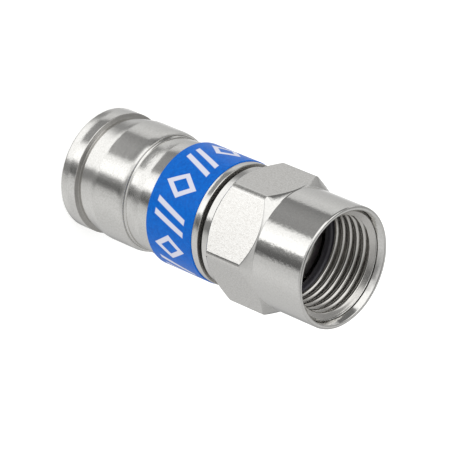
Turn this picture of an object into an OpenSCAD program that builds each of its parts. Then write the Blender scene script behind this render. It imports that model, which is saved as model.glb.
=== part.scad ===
// Compression coaxial connector with a swivel hex nut, standing on its cable end.
// Every piece is turned about the Z axis. z = 0 is the rear face of the open sleeve.

/* [Coupling nut] */
// Nominal diameter of the internal thread
thread_dia = 9.525; // [8.6:0.005:10.4]
// Distance from turn to turn of the thread
thread_pitch = 0.794; // [0.5:0.001:1]
// Wall from the roots of the thread to the flats of the hex
flat_wall = 0.7925; // [0.6:0.0025:1.5]
// Length from the rear face to the mouth
nut_len = 11.46; // [10.6:0.02:14]
// Depth by which the round front stands inside the flats
nose_step = 0.05; // [0.02:0.01:0.2]
// Length of the round front, from the foot of the hex shoulder to the mouth
nose_len = 5.36; // [3:0.02:6]
// Angle of the rear chamfer from the axis
rear_chamfer = 50; // [28:1:60]
// Angle of the front shoulder from the axis
front_chamfer = 46; // [24:1:60]
// Rounding of the outer edge of the mouth
rim_round = 0.2; // [0.05:0.01:0.25]
// Room outside the thread in the plain mouth and in the relief behind the thread
thread_room = 0.1; // [0.02:0.01:0.2]
// Depth of the plain mouth in front of the thread
mouth_depth = 0.65; // [0.4:0.05:1]
// Chamfer on the inner edge of the mouth
mouth_chamfer = 0.24; // [0.1:0.01:0.3]
// Wall of the round collar at the rear, which covers the ring seal
rear_skirt = 0.65; // [0.3:0.01:0.75]
// Length of the round collar behind the hex
rear_collar = 0.68; // [0.3:0.02:1]
// Length of the inner lip that holds the nut on the post
lip_len = 1.9; // [1.4:0.1:2.4]

/* [Body] */
// Outer diameter of the tube beside the band
tube_dia = 10.6; // [10:0.02:12]
// Wall of the tube beside the band
tube_wall = 0.9; // [0.7:0.01:1]
// Height of the taper in front of the sleeve
taper_rise = 0.09; // [0.02:0.01:0.15]
// How far the land under the open sleeve reaches past it
land_past = 0.08; // [0.04:0.01:0.2]
// Length of the plain tube beside the band
tube_land = 1.36; // [0.6:0.02:2]
// Wall of the thin tail that the sleeve closes on
tail_wall = 0.35; // [0.25:0.01:0.45]
// Length of the neck that grips the post
neck_len = 6.3; // [4:0.1:8]
// Depth by which the polished ring lies below the band
ring_drop = 0.07; // [0:0.01:0.2]
// Length of the polished ring
ring_len = 0.72; // [0.6:0.02:1.5]
// Wall of the hub inside the rear of the nut
hub_wall = 0.65; // [0.4:0.01:0.8]
// Length of the hub
hub_len = 1.95; // [1:0.01:3]

/* [Colour band] */
// Length of the band
band_len = 5.42; // [4:0.02:7]
// Wall of the band
band_wall = 0.42; // [0.3:0.01:0.8]
// Depth of the seat that the band sits in
seat_depth = 0.07; // [0.02:0.01:0.2]

/* [Compression sleeve] */
// Length of the sleeve
sleeve_len = 7.62; // [7:0.02:9]
// Wall of the skirt that slides over the tube
skirt_wall = 0.25; // [0.24:0.01:0.6]
// Height of the rear flange above the sleeve
flange_rise = 0.02; // [0:0.01:0.4]
// Length of the rear flange
flange_len = 1.82; // [1.6:0.02:2.1]
// Depth of the groove in front of the flange
groove_depth = 0.45; // [0.3:0.01:0.5]
// Length of the taper from the groove up to the sleeve
groove_len = 2.08; // [1.4:0.02:2.3]
// Thickness of the rear wall round the cable entry
rear_wall = 1.5; // [1.3:0.05:1.7]
// Diameter of the cable entry
entry_dia = 8.1; // [7.3:0.05:8.9]
// Depth of the pocket that closes on the tail of the body
pocket_depth = 1.8; // [1.6:0.05:2]

/* [Centre post] */
// Bore for the dielectric of the cable
post_bore = 4.8; // [4.4:0.05:5.2]
// Wall of the thin tail
post_wall = 0.4; // [0.3:0.01:0.5]
// Height of the barb above the tail
barb_height = 0.25; // [0.1:0.01:0.4]
// Length of the barb
barb_len = 1.1; // [0.8:0.1:2]
// Room round the contact flange inside the nut
flange_room = 0.6125; // [0.3:0.0025:0.8]
// Step from the neck up to the contact flange, which holds the nut
flange_step = 0.7; // [0.5:0.01:0.9]
// Length of the contact flange
post_flange_len = 1.25; // [1.1:0.05:1.5]
// Depth of the countersink in the contact face
countersink = 0.9; // [0.2:0.05:1]
// Distance from the rear of the open sleeve to the end of the post
post_setback = 3.7; // [3.4:0.1:5]

/* [Gripping ring] */
// Wall of the ring at its ridges
grip_wall = 0.6; // [0.4:0.01:0.7]
// Length of the barrel that reaches into the body, sleeve open
grip_reach = 1.3; // [0.8:0.1:2]
// Thickness of the rear collar
grip_collar = 0.35; // [0.25:0.05:0.5]
// Number of gripping ridges
grip_ridges = 4; // [1:1:6]
// Height of a gripping ridge
ridge_height = 0.12; // [0.05:0.01:0.15]

/* [Seals] */
// Thickness of the ring seal between the body and the nut
seal_section = 0.55; // [0.4:0.01:0.6]
// Length of the seal inside the nut
face_seal_len = 0.85; // [0.6:0.05:1]
// Wall of the seal inside the nut
face_seal_wall = 0.7; // [0.5:0.01:0.8]

/* [Clearances] */
// Gap between the polished ring and the rear of the nut
nut_gap = 0.4; // [0.2:0.02:0.5]
// Gap between the open sleeve and the band
open_gap = 3.13; // [3:0.01:3.6]
// Gap between the contact face and the seal inside the nut
face_seal_gap = 0.2; // [0.05:0.01:0.3]
// Running clearance of parts that turn or slide
running = 0.05; // [0.03:0.01:0.08]
// Chamfer on the turned edges
edge = 0.12; // [0.05:0.01:0.15]

/* [Hidden] */
$fn = 128;

// Travel of the sleeve from open to closed
travel = open_gap - running;
// Room left in front of the pocket when the sleeve is closed
pocket_room = 0.16;
// Wall at the very end of the barb
barb_tip = 0.2;
// Depth of the crowned inner face of the seal inside the nut
seal_crown = 0.25;
// Height of an internal thread over its pitch, for a 60 degree thread
thread_height = 0.5413;

// Radii of the nut and of the post and hub inside it, from the thread inwards
thread_r = thread_dia / 2;
thread_crest_r = thread_r - thread_height * thread_pitch;
relief_r = thread_r + thread_room;
hex_r = (thread_r + flat_wall) / cos(30);
nose_r = thread_r + flat_wall - nose_step;
post_flange_r = relief_r - flange_room;
post_neck_r = post_flange_r - flange_step;
lip_bore_r = post_neck_r + running;
hub_r = post_neck_r + hub_wall;
seal_pocket_r = hub_r + seal_section + running;

// Radii of the body, from the outside of its tube
tube_r = tube_dia / 2;
bore_r = tube_r - tube_wall;
tail_r = bore_r + tail_wall;
seat_r = tube_r - seat_depth;
band_r = seat_r + band_wall;
ring_r = band_r - ring_drop;

// Radii of the sleeve
skirt_r = tube_r + running;
sleeve_r = skirt_r + skirt_wall;
pocket_r = tail_r + running;
barrel_r = bore_r - running;

// Stations along the axis
band_z = sleeve_len + open_gap;
ring_z = band_z + band_len;
body_front_z = ring_z + ring_len;
hub_z = body_front_z + hub_len;
neck_z = hub_z - neck_len;
tail_z = rear_wall + grip_collar + travel + running;
tail_front_z = rear_wall + pocket_depth + travel + pocket_room;
nut_z = body_front_z + nut_gap;
mouth_z = nut_z + nut_len;
lip_z = hub_z + nut_gap + running;
lip_front_z = lip_z + lip_len;
post_flange_z = lip_front_z + running;
contact_z = post_flange_z + post_flange_len;
face_seal_z = contact_z + face_seal_gap;
thread_z = face_seal_z + face_seal_len;
lead_z = mouth_z - mouth_depth;
collar_z = nut_z + rear_collar;
land_z = sleeve_len + land_past;

// A body turned about the axis from half its section, as [radius, station] points
module turned(section) {
    rotate_extrude() polygon(section);
}

// What a rounding takes off the outer edge at radius r and station z
module edge_cutter(r, z, round) {
    rotate_extrude()
        difference() {
            translate([r - round, z - round]) square(2 * round);
            translate([r - round, z - round]) circle(round);
        }
}

module coupling_nut() {
    over_r = hex_r + 0.2;
    rear_r = seal_pocket_r + rear_skirt;
    shoulder_z = mouth_z - nose_len;
    color("silver")
        difference() {
            intersection() {
                turned([
                    [seal_pocket_r, nut_z],
                    [rear_r, nut_z],
                    [rear_r, collar_z],
                    [over_r, collar_z + (over_r - rear_r) / tan(rear_chamfer)],
                    [over_r, shoulder_z - (over_r - nose_r) / tan(front_chamfer)],
                    [nose_r, shoulder_z],
                    [nose_r, mouth_z],
                    [relief_r + mouth_chamfer, mouth_z],
                    [relief_r, mouth_z - mouth_chamfer],
                    [relief_r, lead_z],
                    [thread_crest_r, lead_z - (relief_r - thread_crest_r)],
                    [thread_crest_r, thread_z],
                    [relief_r, thread_z],
                    [relief_r, lip_front_z],
                    [lip_bore_r, lip_front_z],
                    [lip_bore_r, lip_z],
                    [seal_pocket_r, lip_z]
                ]);
                translate([0, 0, nut_z]) cylinder(h = nut_len, r = hex_r, $fn = 6);
            }
            edge_cutter(nose_r, mouth_z, rim_round);
        }
}

module inner_post() {
    dielectric_r = post_bore / 2;
    thin_r = dielectric_r + post_wall;
    color("silver")
        turned([
            [dielectric_r, post_setback],
            [dielectric_r + barb_tip, post_setback],
            [thin_r + barb_height, post_setback + barb_len],
            [thin_r, post_setback + barb_len],
            [thin_r, neck_z - (post_neck_r - thin_r)],
            [post_neck_r, neck_z],
            [post_neck_r, post_flange_z],
            [post_flange_r, post_flange_z],
            [post_flange_r, contact_z - edge],
            [post_flange_r - edge, contact_z],
            [dielectric_r + countersink, contact_z],
            [dielectric_r, contact_z - countersink]
        ]);
}

module connector_body() {
    waist_r = tube_r - taper_rise;
    color("gainsboro")
        turned([
            [bore_r, tail_z],
            [tail_r - edge, tail_z],
            [tail_r, tail_z + edge],
            [tail_r, tail_front_z],
            [tube_r, tail_front_z + tube_r - tail_r],
            [tube_r, land_z],
            [waist_r, land_z + taper_rise],
            [tube_r, band_z - tube_land],
            [tube_r, band_z],
            [seat_r, band_z],
            [seat_r, ring_z],
            [ring_r, ring_z],
            [ring_r, body_front_z - edge / 2],
            [ring_r - edge / 2, body_front_z],
            [hub_r, body_front_z],
            [hub_r, hub_z - edge],
            [hub_r - edge, hub_z],
            [post_neck_r, hub_z],
            [post_neck_r, neck_z],
            [bore_r, neck_z]
        ]);
}

module colour_band() {
    soft = edge / 2;
    color("royalblue")
        turned([
            [seat_r, band_z],
            [band_r - soft, band_z],
            [band_r, band_z + soft],
            [band_r, ring_z - soft],
            [band_r - soft, ring_z],
            [seat_r, ring_z]
        ]);
}

module compression_sleeve() {
    flange_r = sleeve_r + flange_rise;
    entry_r = entry_dia / 2;
    pocket_z = rear_wall + pocket_depth;
    color("silver")
        turned([
            [entry_r + 2 * edge, 0],
            [flange_r - edge, 0],
            [flange_r, edge],
            [flange_r, flange_len - edge],
            [flange_r - edge, flange_len],
            [sleeve_r - groove_depth, flange_len],
            [sleeve_r, flange_len + groove_len],
            [sleeve_r, sleeve_len - edge / 2],
            [sleeve_r - edge / 2, sleeve_len],
            [skirt_r, sleeve_len],
            [skirt_r, pocket_z + skirt_r - pocket_r],
            [pocket_r, pocket_z],
            [pocket_r, rear_wall],
            [entry_r, rear_wall],
            [entry_r, 2 * edge]
        ]);
}

module gripping_ring() {
    groove_r = barrel_r - grip_wall + ridge_height;
    front_z = tail_z + grip_reach;
    pitch = (front_z - rear_wall) / (grip_ridges + 1);
    color("white")
        turned(concat(
            [
                [groove_r, rear_wall],
                [pocket_r, rear_wall],
                [pocket_r, rear_wall + grip_collar],
                [barrel_r, rear_wall + grip_collar],
                [barrel_r, front_z - edge],
                [barrel_r - edge, front_z],
                [groove_r, front_z]
            ],
            [for (i = [grip_ridges:-1:1], step = [[0, ridge_height], [ridge_height, 0], [0, 0]])
                [groove_r - step[0], rear_wall + i * pitch + step[1]]]
        ));
}

module nut_seal() {
    color("#202022")
        translate([0, 0, body_front_z + seal_section / 2])
            rotate_extrude()
                translate([hub_r + seal_section / 2, 0]) circle(seal_section / 2);
}

module face_seal() {
    inner_r = relief_r - face_seal_wall;
    color("#202022")
        turned([
            [relief_r, face_seal_z],
            [relief_r, thread_z],
            [inner_r + seal_crown, thread_z],
            [inner_r, thread_z - seal_crown],
            [inner_r, face_seal_z + seal_crown],
            [inner_r + seal_crown, face_seal_z]
        ]);
}

coupling_nut();
inner_post();
connector_body();
colour_band();
compression_sleeve();
gripping_ring();
nut_seal();
face_seal();
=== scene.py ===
import math

import bmesh
import bpy
from mathutils import Euler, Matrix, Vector


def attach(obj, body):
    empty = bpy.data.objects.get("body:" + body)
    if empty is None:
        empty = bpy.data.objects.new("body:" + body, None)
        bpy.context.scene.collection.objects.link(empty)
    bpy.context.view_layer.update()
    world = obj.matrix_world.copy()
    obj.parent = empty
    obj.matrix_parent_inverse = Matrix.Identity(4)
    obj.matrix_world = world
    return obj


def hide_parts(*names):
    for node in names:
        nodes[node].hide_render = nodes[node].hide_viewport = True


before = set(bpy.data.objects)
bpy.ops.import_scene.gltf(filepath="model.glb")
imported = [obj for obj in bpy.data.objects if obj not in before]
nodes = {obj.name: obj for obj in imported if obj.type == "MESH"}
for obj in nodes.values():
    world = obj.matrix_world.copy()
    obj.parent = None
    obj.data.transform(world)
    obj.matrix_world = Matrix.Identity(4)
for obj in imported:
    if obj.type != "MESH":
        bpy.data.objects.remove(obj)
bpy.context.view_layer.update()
mm = 0.001
print("frame loaded")


def addNode(tree, kind, values=None, **settings):
    node = tree.nodes.new(kind)
    for name, value in settings.items():
        setattr(node, name, value)
    for socket, value in (values or {}).items():
        if isinstance(value, bpy.types.NodeSocket):
            tree.links.new(value, node.inputs[socket])
        else:
            node.inputs[socket].default_value = value
    return node


# An sRGB hex code as the linear values that shaders take
def linear(hexCode):
    parts = [int(hexCode[i:i + 2], 16) / 255 for i in (1, 3, 5)]
    return tuple(p / 12.92 if p <= 0.04045 else ((p + 0.055) / 1.055) ** 2.4 for p in parts) + (1.0,)


# The camera, from the photograph's perspective, in mm and degrees; the clip is in metres
cameraView = {
    "lens": 259.4,
    "sensor": 36,
    "aim": (0.567, -0.031, 15.124),
    "distance": 281.34,
    "azimuth": -3.03,
    "elevation": 38.80,
    "roll": 113.07,
    "clip": (0.01, 10),
}


def makeCamera(view):
    turn, rise = math.radians(view["azimuth"]), math.radians(view["elevation"])
    back = Vector((math.sin(turn) * math.cos(rise), -math.cos(turn) * math.cos(rise), math.sin(rise)))
    camera = bpy.data.objects.new("camera", bpy.data.cameras.new("camera"))
    bpy.context.scene.collection.objects.link(camera)
    camera.data.lens = view["lens"]
    camera.data.sensor_width = view["sensor"]
    camera.data.clip_start, camera.data.clip_end = view["clip"]
    camera.location = (Vector(view["aim"]) + back * view["distance"]) * mm
    rolled = back.to_track_quat("Z", "Y") @ Euler((0, 0, math.radians(view["roll"]))).to_quaternion()
    camera.rotation_mode = "QUATERNION"
    camera.rotation_quaternion = rolled
    bpy.context.scene.camera = camera


makeCamera(cameraView)
bpy.context.scene.view_settings.view_transform = "Standard"
print("camera made")


# The sockets of a Mix node that mixes colours
colourA, colourB, colourOut = 6, 7, 2

# The studio: what the metal mirrors, in layers from the floor up, with the lamps and the dark screens
# where the photograph's highlights and shadows call for them. Each pair is a compass direction of the
# mirrored ray, 0 towards -Y and 90 towards +X, and a level. Each layer fades in between two heights of
# the ray, of which -1 is straight down and 1 straight up. Lamp and floor are in metres
studio = {
    "bottom": 0.08,
    "deep": [(-180, 0.45), (-156, 0.55), (-137, 0.66), (-124, 0.49), (-112, 0.33), (-98, 0.35),
             (-88, 0.6), (-74, 1.15), (-60, 1.35), (8, 1.35), (16, 0.28), (35, 0.26), (47, 0.65),
             (65, 0.78), (100, 0.82), (123, 0.7), (146, 0.48), (165, 0.26), (175, 0.3)],
    "low": [(-180, 0.95), (-165, 0.84), (-153, 0.6), (-141, 0.60), (-129, 0.65), (-117, 0.72),
            (-105, 0.80), (-91, 0.74), (-84, 0.26), (-69, 0.33), (-55, 0.37), (-32, 0.34), (-25, 1.25),
            (-9, 1.55), (5, 1.55), (10, 0.34), (20, 0.16), (29, 0.13), (37, 0.66), (50, 0.78),
            (63, 0.82), (87, 0.73), (123, 0.66), (141, 0.58), (153, 0.42), (168, 0.4), (175, 0.5)],
    "side": [(-180, 0.5), (-145, 0.4), (-125, 0.5), (-118, 0.8), (-112, 0.6), (-106, 0.2), (-68, 0.2),
             (-60, 1.4), (-30, 1.4), (-22, 0.9), (-8, 1.0), (2, 0.4), (20, 0.3), (35, 0.5), (60, 0.75),
             (100, 0.7), (130, 0.5), (160, 0.45)],
    "high": [(-180, 0.68), (-140, 0.35), (-112, 0.35), (-100, 1.3), (-70, 1.4), (-20, 1.35),
             (-5, 0.75), (10, 0.75), (30, 0.6), (45, 0.66), (80, 0.75), (110, 0.66), (150, 0.62)],
    "top": [(-180, 0.18), (-108, 0.18), (-99, 1.4), (-68, 1.4), (-57, 0.18), (45, 0.18), (75, 0.5),
            (125, 0.4), (150, 0.18)],
    "layers": (("deep", -0.955, -0.93), ("low", -0.7, -0.685), ("side", -0.4, -0.1),
               ("high", 0.35, 0.52), ("top", 0.8, 0.9)),
    "plain": 0.9,
    "floorGlow": 0.35, "floorColour": "#F4F4F2", "floorHalf": 3, "floorHeight": -0.00001,
    "lampAt": (-0.35, -0.35, 0.6), "lampSize": 0.5, "lampPower": 1.2,
}


def makeStudio(s):
    world = bpy.data.worlds.new("studio")
    bpy.context.scene.world = world
    world.use_nodes = True
    world.cycles.sampling_method = "NONE"
    tree = world.node_tree
    tree.nodes.clear()
    where = addNode(tree, "ShaderNodeTexCoord").outputs["Generated"]
    parts = addNode(tree, "ShaderNodeSeparateXYZ", {0: where}).outputs
    ahead = addNode(tree, "ShaderNodeMath", {0: parts[1], 1: -1.0}, operation="MULTIPLY").outputs[0]
    compass = addNode(tree, "ShaderNodeMath", {0: parts[0], 1: ahead}, operation="ARCTAN2").outputs[0]
    share = addNode(tree, "ShaderNodeMapRange", {"Value": compass, "From Min": -math.pi,
                                                 "From Max": math.pi}).outputs[0]
    layers = {"bottom": (s["bottom"],) * 3 + (1,)}
    for part, *_ in s["layers"]:
        node = addNode(tree, "ShaderNodeValToRGB", {0: share})
        marks = node.color_ramp.elements
        while len(marks) < len(s[part]) + 1:
            marks.new(0.5)
        for mark, (angle, level) in zip(marks, s[part] + [(180, s[part][0][1])]):
            mark.position = angle / 360 + 0.5
            mark.color = (level, level, level, 1)
        layers[part] = node.outputs["Color"]
    mirrored = layers["bottom"]
    for part, start, end in s["layers"]:
        rise = addNode(tree, "ShaderNodeMapRange", {"Value": parts[2], "From Min": start,
                                                    "From Max": end}).outputs[0]
        mirrored = addNode(tree, "ShaderNodeMix", {"Factor": rise, colourA: mirrored,
                                                   colourB: layers[part]},
                           data_type="RGBA").outputs[colourOut]
    path = addNode(tree, "ShaderNodeLightPath").outputs
    plain = (s["plain"],) * 3 + (1,)
    white = (1, 1, 1, 1)
    lit = addNode(tree, "ShaderNodeMix", {"Factor": path["Is Glossy Ray"], colourA: plain,
                                          colourB: mirrored}, data_type="RGBA").outputs[colourOut]
    seen = addNode(tree, "ShaderNodeMix", {"Factor": path["Is Camera Ray"], colourA: lit,
                                           colourB: white}, data_type="RGBA").outputs[colourOut]
    back = addNode(tree, "ShaderNodeBackground", {"Color": seen, "Strength": 1.0}).outputs[0]
    addNode(tree, "ShaderNodeOutputWorld", {"Surface": back})

    # White card, pressed: no sheen, only soft shadows. It glows a little to the camera, so that it
    # reaches white
    paint = bpy.data.materials.new("whiteCard")
    paint.use_nodes = True
    tree = paint.node_tree
    tree.nodes.clear()
    cover = addNode(tree, "ShaderNodeBsdfDiffuse", {"Color": linear(s["floorColour"])}).outputs[0]
    path = addNode(tree, "ShaderNodeLightPath").outputs
    glowLevel = addNode(tree, "ShaderNodeMath", {0: path["Is Camera Ray"], 1: s["floorGlow"]},
                        operation="MULTIPLY").outputs[0]
    glow = addNode(tree, "ShaderNodeEmission", {"Color": white, "Strength": glowLevel}).outputs[0]
    both = addNode(tree, "ShaderNodeAddShader", {0: cover, 1: glow}).outputs[0]
    addNode(tree, "ShaderNodeOutputMaterial", {"Surface": both})
    bm = bmesh.new()
    bmesh.ops.create_grid(bm, x_segments=1, y_segments=1, size=s["floorHalf"])
    bmesh.ops.translate(bm, verts=bm.verts, vec=(0, 0, s["floorHeight"]))
    floor = finishPiece(bm, "floor", [paint])
    floor.visible_glossy = False

    lamp = bpy.data.lights.new("softLamp", "AREA")
    lamp.shape, lamp.size, lamp.energy = "SQUARE", s["lampSize"], s["lampPower"]
    lampObject = bpy.data.objects.new("softLamp", lamp)
    bpy.context.scene.collection.objects.link(lampObject)
    lampObject.location = s["lampAt"]
    lampObject.rotation_euler = Vector(s["lampAt"]).to_track_quat("Z", "Y").to_euler()
    lampObject.visible_glossy = False


def finishPiece(bm, name, materials, sharpAngle=40):
    mesh = bpy.data.meshes.new(name)
    for face in bm.faces:
        face.smooth = True
    for edge in bm.edges:
        edge.smooth = len(edge.link_faces) == 2 and edge.calc_face_angle(0) < math.radians(sharpAngle)
    bm.to_mesh(mesh)
    bm.free()
    piece = bpy.data.objects.new(name, mesh)
    bpy.context.scene.collection.objects.link(piece)
    for material in materials:
        mesh.materials.append(material)
    return piece


makeStudio(studio)
print("studio made")


# Metres along the section of a turned part: its height plus its radius, so that
# the lathe's marks run round the walls and round the faces
def latheDistance(tree):
    where = addNode(tree, "ShaderNodeTexCoord").outputs["Object"]
    height = addNode(tree, "ShaderNodeSeparateXYZ", {0: where}).outputs[2]
    level = addNode(tree, "ShaderNodeVectorMath", {0: where, 1: (1, 1, 0)},
                    operation="MULTIPLY").outputs[0]
    radius = addNode(tree, "ShaderNodeVectorMath", {0: level}, operation="LENGTH").outputs["Value"]
    return addNode(tree, "ShaderNodeMath", {0: height, 1: radius}, operation="ADD").outputs[0]


def newMaterial(name, colour, metallic, roughness, **extra):
    material = bpy.data.materials.new(name)
    material.use_nodes = True
    tree = material.node_tree
    shader = tree.nodes["Principled BSDF"]
    shader.inputs["Base Color"].default_value = linear(colour)
    shader.inputs["Metallic"].default_value = metallic
    shader.inputs["Roughness"].default_value = roughness
    for socket, value in extra.items():
        shader.inputs[socket].default_value = value
    return material, tree, shader


# Brass, turned and nickel plated. The plate copies what the tool left: bright walls mirror sharply, satin
# ones smear the light, and flats keep the grain of the drawn bar.
# Hollows get a rougher plate painted darker, which is painted shade, and the thread a plate a little
# darker, also painted shade. Real marks and grain are about 0.02 mm, too fine to show, so they are drawn
# coarser here, in mm
nickel = {
    "bright": ("#D3D2CF", "#DCDBD8"),
    "satin": ("#D3D2CE", "#DEDDDA"),
    "flats": ("#CAC8C4", "#DDDCD9"),
    "shadedHollow": ("#ADABA7", "#BBB9B5"),
    "thread": ("#CCCAC6", "#D2D0CC"),
    "grainSize": 0.15, "markSize": 0.10, "mottleSize": 0.35,
    "flatSpread": 0.04, "flatGrain": 0.006,
}

# The part of its range that a noise mostly fills, and a narrower part for the grain's contrast
noiseRange = {"From Min": 0.3, "From Max": 0.7}
grainRange = {"From Min": 0.36, "From Max": 0.6}


# A fine grain between two tones of one colour
def grainyColour(tree, shader, dull, clean, size):
    where = addNode(tree, "ShaderNodeTexCoord").outputs["Object"]
    grain = addNode(tree, "ShaderNodeTexNoise", {"Vector": where, "Scale": 1 / (size * mm), "Detail": 3.0,
                                                 "Roughness": 0.7}).outputs["Fac"]
    tone = addNode(tree, "ShaderNodeMapRange", {"Value": grain, **grainRange}).outputs[0]
    cover = addNode(tree, "ShaderNodeMix", {"Factor": tone, colourA: linear(dull), colourB: linear(clean)},
                    data_type="RGBA").outputs[colourOut]
    tree.links.new(cover, shader.inputs["Base Color"])
    return grain, cover


# Depths are in mm. The blur runs along the axis with a turn of 0.25, and round it with 0
def turnedNickel(name, tone, roughness, spread, markDepth, mottleDepth, anisotropic, turn=0.25):
    dull, clean = nickel[tone]
    material, tree, shader = newMaterial(name, clean, 1.0, roughness)
    grainyColour(tree, shader, dull, clean, nickel["grainSize"])
    along = latheDistance(tree)
    marks = addNode(tree, "ShaderNodeTexNoise", {"W": along, "Scale": 1 / (nickel["markSize"] * mm),
                                                 "Detail": 3.0}, noise_dimensions="1D").outputs["Fac"]
    ends = {"To Min": roughness - spread, "To Max": roughness + spread}
    rough = addNode(tree, "ShaderNodeMapRange", {"Value": marks, **noiseRange, **ends}).outputs[0]
    tree.links.new(rough, shader.inputs["Roughness"])
    where = addNode(tree, "ShaderNodeTexCoord").outputs["Object"]
    mottle = addNode(tree, "ShaderNodeTexNoise", {"Vector": where, "Detail": 2.0,
                                                  "Scale": 1 / (nickel["mottleSize"] * mm)}).outputs["Fac"]
    soft = addNode(tree, "ShaderNodeBump", {"Height": mottle, "Strength": 1.0,
                                            "Distance": mottleDepth * mm}).outputs[0]
    bump = addNode(tree, "ShaderNodeBump", {"Height": marks, "Strength": 1.0, "Distance": markDepth * mm,
                                            "Normal": soft}).outputs[0]
    tree.links.new(bump, shader.inputs["Normal"])
    shader.inputs["Anisotropic"].default_value = anisotropic
    shader.inputs["Anisotropic Rotation"].default_value = turn
    tangent = addNode(tree, "ShaderNodeTangent", direction_type="RADIAL", axis="Z").outputs[0]
    tree.links.new(tangent, shader.inputs["Tangent"])
    return material


# Painted shade: the thread's plate is a little darker than the bright plate, to darken the inside of the
# nut
nickelThread = turnedNickel("nickelPlateThread", "thread", roughness=0.2, spread=0.02, markDepth=0.0,
                            mottleDepth=0.0, anisotropic=0.0)
# The rougher plate, painted darker: painted shade on the flange's front face, the ring's front face and
# the post deep in the nut
nickelShadedHollow = turnedNickel("nickelPlateShadedHollow", "shadedHollow", roughness=0.42, spread=0.03, markDepth=0.001,
                            mottleDepth=0.0, anisotropic=0.0)
nickelBright = turnedNickel("nickelPlateBright", "bright", roughness=0.10, spread=0.02, markDepth=0.0008,
                            mottleDepth=0.009, anisotropic=0.2)
nickelSatin = turnedNickel("nickelPlateSatin", "satin", roughness=0.15, spread=0.03, markDepth=0.001,
                           mottleDepth=0.005, anisotropic=0.5, turn=0.0)


def flatNickel(name, roughness):
    dull, clean = nickel["flats"]
    material, tree, shader = newMaterial(name, clean, 1.0, roughness)
    grain = grainyColour(tree, shader, dull, clean, nickel["grainSize"])[0]
    ends = {"To Min": roughness - nickel["flatSpread"], "To Max": roughness + nickel["flatSpread"]}
    rough = addNode(tree, "ShaderNodeMapRange", {"Value": grain, **noiseRange, **ends}).outputs[0]
    tree.links.new(rough, shader.inputs["Roughness"])
    bump = addNode(tree, "ShaderNodeBump", {"Height": grain, "Strength": 1.0,
                                            "Distance": nickel["flatGrain"] * mm}).outputs[0]
    tree.links.new(bump, shader.inputs["Normal"])
    return material


nickelFlats = flatNickel("nickelPlateFlats", roughness=0.15)


# Polyethylene, moulded in blue: half glossy and a little cloudy, with a pale print of plain shapes,
# an open diamond and two slanted bars by turns, in mm
bandPrint = {
    "blue": "#006BD0", "deepBlue": "#005FC0", "pale": "#DCDDEC",
    "radius": 5.65, "middle": 13.46, "repeats": 6, "half": 1.75,
    "diamondAt": -1.45, "diamondHalf": 1.25, "stroke": 0.38,
    "barsAt": 1.5, "barsApart": 1.15, "barWidth": 0.5, "slant": 0.35, "fade": 0.04, "cloudSize": 0.3,
}


# The print's sums, row by row: a name, what is done, and numbers or names from above, in mm
def printMask(tree, p):
    where = addNode(tree, "ShaderNodeTexCoord").outputs["Object"]
    made = dict(zip("xyz", addNode(tree, "ShaderNodeSeparateXYZ", {0: where}).outputs))
    half = math.pi * p["radius"] / p["repeats"]
    rows = (
        ("back", "MULTIPLY", "y", -1.0),
        ("angle", "ARCTAN2", "x", "back"),
        ("round", "MULTIPLY", "angle", p["radius"]),
        ("along", "WRAP", "round", half, -half),
        ("height", "MULTIPLY", "z", 1 / mm),
        ("across", "SUBTRACT", "height", p["middle"]),
        ("reach", "ABSOLUTE", "across"),
        # The diamond, as the distance from the middle of its stroke
        ("shifted", "SUBTRACT", "along", p["diamondAt"]),
        ("aside", "ABSOLUTE", "shifted"),
        ("scaled", "MULTIPLY", "aside", p["half"] / p["diamondHalf"]),
        ("corner", "ADD", "scaled", "reach"),
        ("middle", "SUBTRACT", "corner", p["half"] - p["stroke"]),
        ("off", "ABSOLUTE", "middle"),
        ("diamond", "SUBTRACT", "off", p["stroke"]),
        # The two bars, the same way, ended at the print's edges
        ("lean", "MULTIPLY", "across", p["slant"]),
        ("moved", "SUBTRACT", "along", p["barsAt"]),
        ("leaning", "SUBTRACT", "moved", "lean"),
        ("either", "ABSOLUTE", "leaning"),
        ("fromBar", "SUBTRACT", "either", p["barsApart"] / 2),
        ("offBar", "ABSOLUTE", "fromBar"),
        ("bar", "SUBTRACT", "offBar", p["barWidth"] / 2),
        ("past", "SUBTRACT", "reach", p["half"]),
        ("bars", "MAXIMUM", "bar", "past"),
        ("nearest", "MINIMUM", "diamond", "bars"),
    )
    for name, operation, *inputs in rows:
        values = {i: made.get(value, value) for i, value in enumerate(inputs)}
        made[name] = addNode(tree, "ShaderNodeMath", values, operation=operation).outputs[0]
    return addNode(tree, "ShaderNodeMapRange", {"Value": made["nearest"], "From Min": p["fade"],
                                                "From Max": -p["fade"]}).outputs[0]


bluePlastic, tree, shader = newMaterial("polyethyleneBlue", bandPrint["blue"], metallic=0.0,
                                        roughness=0.3, **{"Specular IOR Level": 0.14})
plastic = grainyColour(tree, shader, bandPrint["deepBlue"], bandPrint["blue"], bandPrint["cloudSize"])[1]
mask, pale = printMask(tree, bandPrint), linear(bandPrint["pale"])
printed = addNode(tree, "ShaderNodeMix", {"Factor": mask, colourA: plastic, colourB: pale},
                  data_type="RGBA").outputs[colourOut]
tree.links.new(printed, shader.inputs["Base Color"])

# Acetal, moulded: a smooth, milky skin, faintly cloudy
whitePlastic, tree, shader = newMaterial("acetalWhite", "#E9E7E0", metallic=0.0, roughness=0.35)
grainyColour(tree, shader, "#E3E1D9", "#EDEBE4", size=0.5)

# Nitrile rubber, moulded: near black and half dull, with a grey bloom in fine specks
blackRubber, tree, shader = newMaterial("nitrileRubberBlack", "#3B393F", metallic=0.0, roughness=0.3)
grainyColour(tree, shader, "#353339", "#414046", size=0.12)
print("materials made")


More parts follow.
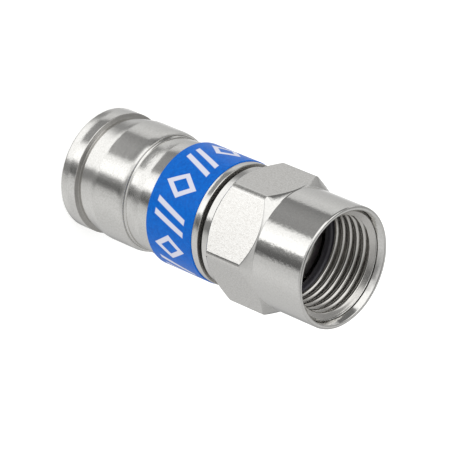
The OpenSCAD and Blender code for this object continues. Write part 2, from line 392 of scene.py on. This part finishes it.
# A section in mm, each corner a radius, a height and mostly its rounding, turned about Z
def turnedMesh(section, steps, closed=True):
    bm = bmesh.new()
    corners = [bm.verts.new((point[0] * mm, 0, point[1] * mm)) for point in section]
    ends = corners[1:] + corners[:1] if closed else corners[1:]
    for first, second in zip(corners, ends):
        bm.edges.new((first, second))
    rounds = {}
    for corner, point in zip(corners, section):
        if len(point) == 3:
            rounds.setdefault(point[2], []).append(corner)
    for size, group in rounds.items():
        bmesh.ops.bevel(bm, geom=group, offset=size * mm, offset_type="OFFSET", segments=3, profile=0.5,
                        affect="VERTICES", material=-1)
    bmesh.ops.spin(bm, geom=bm.verts[:] + bm.edges[:], cent=(0, 0, 0), axis=(0, 0, 1), angle=2 * math.pi,
                   steps=steps, use_merge=True)
    bmesh.ops.remove_doubles(bm, verts=bm.verts, dist=1e-7)
    return bm


def keepFlat(piece):
    even = piece.modifiers.new("evenShading", "WEIGHTED_NORMAL")
    even.keep_sharp = True
    even.weight = 100
    return piece


def turnedPiece(name, section, material, body, node, steps=192):
    bm = turnedMesh(section, steps)
    bmesh.ops.recalc_face_normals(bm, faces=bm.faces)
    piece = keepFlat(finishPiece(bm, name, [material]))
    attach(piece, body)
    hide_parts(node)
    return piece


# Walls that face the front, between two heights and outside a radius, get the rougher plate painted
# darker:
# painted shade in the groove behind the flange and in the gap before the nut
def paintShadeOnFrontFaces(piece, low, high, inner, steepest=0.8):
    piece.data.materials.append(nickelShadedHollow)
    for face in piece.data.polygons:
        front = face.normal.z > steepest and low * mm < face.center.z < high * mm
        if front and face.center.xy.length > inner * mm:
            face.material_index = 1


# Radii and heights in mm, here and below
sleeve = {
    "flange": 5.62, "flangeEnd": 1.82, "flangeRound": 0.12, "flangeLean": 0.1, "flangeFront": 0.05,
    "groove": 5.15, "grooveStep": 0.05, "grooveStart": 0.01, "grooveRound": 0.03,
    "taperEnd": 3.90, "taperRound": 0.35, "outer": 5.60, "length": 7.62,
    "slopeStart": 0.5, "slopeDepth": 0.13, "slopeRound": 0.25, "slopeEnd": 0.04,
    "lip": 5.31, "lipRound": 0.01, "lipDepth": 0.15, "skirt": 5.35,
    "pocket": 4.80, "pocketStart": 1.5, "pocketEnd": 3.3, "entry": 4.05, "chamfer": 0.24, "edge": 0.02,
}


def makeSleeve(s):
    section = [
        (s["entry"] + s["chamfer"], 0, s["edge"]), (s["flange"], 0, s["flangeRound"]),
        (s["flange"], s["flangeEnd"] - s["flangeLean"], s["flangeFront"]),
        (s["groove"] + s["grooveStep"], s["flangeEnd"] + s["grooveStart"], s["grooveRound"]),
        (s["outer"], s["taperEnd"], s["taperRound"]),
        (s["outer"], s["length"] - s["slopeStart"], s["slopeRound"]),
        (s["outer"] - s["slopeDepth"], s["length"], s["slopeEnd"]),
        (s["lip"], s["length"], s["lipRound"]),
        (s["skirt"], s["length"] - s["lipDepth"]),
        (s["skirt"], s["pocketEnd"] + s["skirt"] - s["pocket"]), (s["pocket"], s["pocketEnd"]),
        (s["pocket"], s["pocketStart"]), (s["entry"], s["pocketStart"], s["edge"]),
        (s["entry"], s["chamfer"], s["edge"]),
    ]
    piece = turnedPiece("sleeveTurned", section, nickelSatin, "sleeve",
                        "compression_sleeve")
    paintShadeOnFrontFaces(piece, 0, s["taperEnd"], s["groove"])
    return piece


body = {
    "bore": 4.40, "tailStart": 4.98, "tail": 4.75, "tailRound": 0.12, "tailEnd": 6.54, "landEnd": 7.70,
    "waist": 5.18, "waistStep": 0.06, "waistRound": 0.06, "tube": 5.30, "taperEnd": 9.34,
    "taperRound": 0.1, "bandStart": 10.75, "bandEnd": 16.17, "seat": 5.23, "seatRound": 0.03,
    "ring": 5.58, "ringRound": 0.07, "front": 16.89, "hub": 4.20, "hubEnd": 18.84, "hubRound": 0.12,
    "neck": 3.55, "neckStart": 12.54, "edge": 0.02,
}


def makeBody(b):
    section = [
        (b["bore"], b["tailStart"], b["edge"]), (b["tail"], b["tailStart"], b["tailRound"]),
        (b["tail"], b["tailEnd"]), (b["tube"], b["tailEnd"] + b["tube"] - b["tail"]),
        (b["tube"], b["landEnd"] - b["waistStep"], b["edge"]),
        (b["waist"], b["landEnd"] + b["waistStep"], b["waistRound"]),
        (b["tube"], b["taperEnd"], b["taperRound"]), (b["tube"], b["bandStart"], b["seatRound"]),
        (b["seat"], b["bandStart"]), (b["seat"], b["bandEnd"]),
        (b["ring"], b["bandEnd"], b["edge"]), (b["ring"], b["front"], b["ringRound"]),
        (b["hub"], b["front"]), (b["hub"], b["hubEnd"], b["hubRound"]), (b["neck"], b["hubEnd"]),
        (b["neck"], b["neckStart"]), (b["bore"], b["neckStart"]),
    ]
    piece = turnedPiece("bodyTurned", section, nickelSatin, "body", "connector_body")
    paintShadeOnFrontFaces(piece, b["bandEnd"], b["front"] + b["edge"], b["hub"])
    return piece


band = {"inner": 5.23, "outer": 5.65, "start": 10.75, "end": 16.17, "edge": 0.06}


def makeBand(b):
    section = [
        (b["inner"], b["start"]), (b["outer"], b["start"], b["edge"]), (b["outer"], b["end"], b["edge"]),
        (b["inner"], b["end"]),
    ]
    return turnedPiece("bandMoulded", section, bluePlastic, "body", "colour_band")


post = {
    "bore": 2.4, "start": 3.7, "tip": 2.6, "barb": 3.05, "barbEnd": 4.8, "tail": 2.8, "neck": 3.55,
    "neckStart": 12.54, "flange": 4.25, "flangeStart": 21.24, "contact": 22.49, "contactRound": 0.12,
    "countersink": 3.3, "sinkRound": 0.03, "boreRound": 0.05, "edge": 0.02,
}


# Seen only deep in the nut, in the rougher plate painted darker: painted shade
def makePost(p):
    section = [
        (p["bore"], p["start"], p["edge"]), (p["tip"], p["start"], p["edge"]), (p["barb"], p["barbEnd"]),
        (p["tail"], p["barbEnd"]), (p["tail"], p["neckStart"] - p["neck"] + p["tail"]),
        (p["neck"], p["neckStart"]), (p["neck"], p["flangeStart"]), (p["flange"], p["flangeStart"]),
        (p["flange"], p["contact"], p["contactRound"]), (p["countersink"], p["contact"], p["sinkRound"]),
        (p["bore"], p["contact"] - p["countersink"] + p["bore"], p["boreRound"]),
    ]
    return turnedPiece("postTurned", section, nickelShadedHollow, "body", "inner_post")


faceSeal = {"inner": 4.1625, "outer": 4.8625, "start": 22.69, "end": 23.54, "crown": 0.25}


def makeFaceSeal(f):
    section = [
        (f["outer"], f["start"]), (f["outer"], f["end"]), (f["inner"], f["end"], f["crown"]),
        (f["inner"], f["start"], f["crown"]),
    ]
    return turnedPiece("faceSealMoulded", section, blackRubber, "nut", "face_seal")


for make, values in ((makeSleeve, sleeve), (makeBody, body), (makeBand, band), (makePost, post),
                     (makeFaceSeal, faceSeal)):
    print("made", make(values).name)


# Lengths in mm, angles in degrees
nut = {
    "start": 17.29, "end": 28.75, "pocket": 4.80, "rear": 5.45, "rearRound": 0.05, "collar": 17.97,
    "across": 11.11, "rearAngle": 50, "spare": 0.2, "corner": 0.24, "flatSide": 3,
    "edging": 0.11, "edgingDepth": 0.044,
    "shoulder": 23.39, "frontAngle": 46, "nose": 5.505, "noseRound": 0.06, "rim": 0.2,
    "mouth": 4.8625, "mouthStart": 28.10, "mouthRise": 0.14, "mouthRound": 0.04, "mouthStep": 0.03,
    "chamfer": 0.28, "chamferRound": 0.08,
    "relief": 4.8625, "reliefStart": 21.19, "lip": 3.60, "lipStart": 19.29, "edge": 0.03,
    "threadStart": 23.54, "threadMajor": 4.7625, "threadCrest": 4.333, "threadSoft": 0.118,
    "pitch": 0.794, "crestShare": 0.3, "leadRun": 0.6, "steps": 192,
}


def makeNut(n):
    bright, flat, threaded = 0, 1, 2
    over = n["across"] / 2 / math.cos(math.radians(30)) + n["spare"]
    rearRun = (over - n["rear"]) / math.tan(math.radians(n["rearAngle"]))
    frontRun = (over - n["nose"]) / math.tan(math.radians(n["frontAngle"]))
    leadEnd = n["mouthStart"] - n["mouthStep"]
    leadWide = n["mouth"] - n["mouthStep"]
    section = [
        (n["relief"], n["threadStart"]), (n["relief"], n["reliefStart"]), (n["lip"], n["reliefStart"]),
        (n["lip"], n["lipStart"]), (n["pocket"], n["lipStart"]), (n["pocket"], n["start"], n["edge"]),
        (n["rear"], n["start"], n["rearRound"]), (n["rear"], n["collar"], n["edge"]),
        (over, n["collar"] + rearRun), (over, n["shoulder"] - frontRun),
        (n["nose"], n["shoulder"], n["noseRound"]), (n["nose"], n["end"], n["rim"]),
        (n["mouth"] + n["chamfer"], n["end"], n["chamferRound"]),
        (n["mouth"], n["mouthStart"] + n["mouthRise"], n["mouthRound"]), (n["mouth"], n["mouthStart"]),
        (leadWide, leadEnd),
    ]
    bm = turnedMesh(section, n["steps"], closed=False)
    bmesh.ops.recalc_face_normals(bm, faces=bm.faces)

    # Six flats, each cut off with a plane and closed again
    for i in range(6):
        turn = math.radians(60 * i - 90)
        out = Vector((math.cos(turn), math.sin(turn), 0))
        cut = bmesh.ops.bisect_plane(bm, geom=bm.verts[:] + bm.edges[:] + bm.faces[:], dist=1e-8,
                                     plane_co=out * n["across"] / 2 * mm, plane_no=out, clear_outer=True)
        rim = [e for e in cut["geom_cut"] if isinstance(e, bmesh.types.BMEdge)]
        made = bmesh.ops.contextual_create(bm, geom=rim)
        for face in made["faces"]:
            face.material_index = flat
    bmesh.ops.recalc_face_normals(bm, faces=bm.faces)

    # The hex's corners are rounded, and each flat gets a narrow, bright edging
    corners = [e for e in bm.edges if all(f.material_index == flat for f in e.link_faces)]
    bmesh.ops.bevel(bm, geom=corners, offset=n["corner"] * mm, offset_type="OFFSET", segments=4,
                    profile=0.5, affect="EDGES", clamp_overlap=True, material=flat)
    wide = [f for f in bm.faces if f.material_index == flat and f.calc_area() > (n["flatSide"] * mm) ** 2]
    edging = bmesh.ops.inset_individual(bm, faces=wide, thickness=n["edging"] * mm,
                                        depth=n["edgingDepth"] * mm, use_even_offset=True)
    for face in edging["faces"]:
        face.material_index = bright

    # The thread: one turn's section is run up its helix, which the lead-in opens and two planes trim
    flank = (n["threadMajor"] - n["threadCrest"]) * math.tan(math.radians(30))
    crest = n["pitch"] * n["crestShare"]
    root = n["pitch"] - crest - 2 * flank
    turns = math.ceil((leadEnd - n["threadStart"]) / n["pitch"]) + 2
    base = n["threadStart"] - n["pitch"]
    outline = [(n["threadCrest"], 0), (n["threadCrest"], crest / 2),
               (n["threadMajor"], crest / 2 + flank), (n["threadMajor"], crest / 2 + flank + root),
               (n["threadCrest"], n["pitch"] - crest / 2), (n["threadCrest"], n["pitch"])]
    helix = bmesh.new()
    points = [helix.verts.new((r * mm, 0, (base + z) * mm)) for r, z in outline]
    for pair in zip(points, points[1:]):
        helix.edges.new(pair)
    bmesh.ops.bevel(helix, geom=points[1:5], offset=n["threadSoft"] * mm, offset_type="OFFSET",
                    segments=4, profile=0.5, affect="VERTICES", material=-1)
    bmesh.ops.subdivide_edges(helix, edges=helix.edges[:], cuts=1)
    bmesh.ops.spin(helix, geom=helix.verts[:] + helix.edges[:], cent=(0, 0, 0), axis=(0, 0, 1),
                   angle=2 * math.pi * turns, steps=n["steps"] * turns // 2,
                   dvec=(0, 0, n["pitch"] * 2 / n["steps"] * mm))
    bmesh.ops.remove_doubles(helix, verts=helix.verts, dist=1e-6)
    leadStart = leadEnd - (leadWide - n["threadCrest"]) * n["leadRun"]
    for vert in helix.verts:
        radius = vert.co.xy.length
        opened = n["threadCrest"] * mm + max(0, vert.co.z - leadStart * mm) / n["leadRun"]
        if opened > radius:
            vert.co.xy *= opened / radius
    for height, side in ((n["threadStart"], -1), (leadEnd, 1)):
        bmesh.ops.bisect_plane(helix, geom=helix.verts[:] + helix.edges[:] + helix.faces[:], dist=1e-9,
                               plane_co=(0, 0, height * mm), plane_no=(0, 0, side), clear_outer=True)
    for face in helix.faces:
        face.material_index = threaded
    threadMesh = bpy.data.meshes.new("thread")
    helix.to_mesh(threadMesh)
    helix.free()
    bm.from_mesh(threadMesh)
    bpy.data.meshes.remove(threadMesh)

    # The thread's two ends are joined to the bore
    lower = [e for e in bm.edges if e.is_boundary and e.verts[0].co.z < (n["threadStart"] + 1) * mm]
    bmesh.ops.bridge_loops(bm, edges=lower)
    bmesh.ops.bridge_loops(bm, edges=[e for e in bm.edges if e.is_boundary])
    bmesh.ops.recalc_face_normals(bm, faces=bm.faces)
    piece = keepFlat(finishPiece(bm, "nutTurned", [nickelBright, nickelFlats, nickelThread]))
    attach(piece, "nut")
    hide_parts("coupling_nut")
    return piece


print("made", makeNut(nut).name)

# The gripping ring and the nut's seal are shown by their CAD nodes, each in its own material
for name, material in (("gripping_ring", whitePlastic), ("nut_seal", blackRubber)):
    mesh = nodes[name].data
    mesh.materials.clear()
    mesh.materials.append(material)
print("finished")
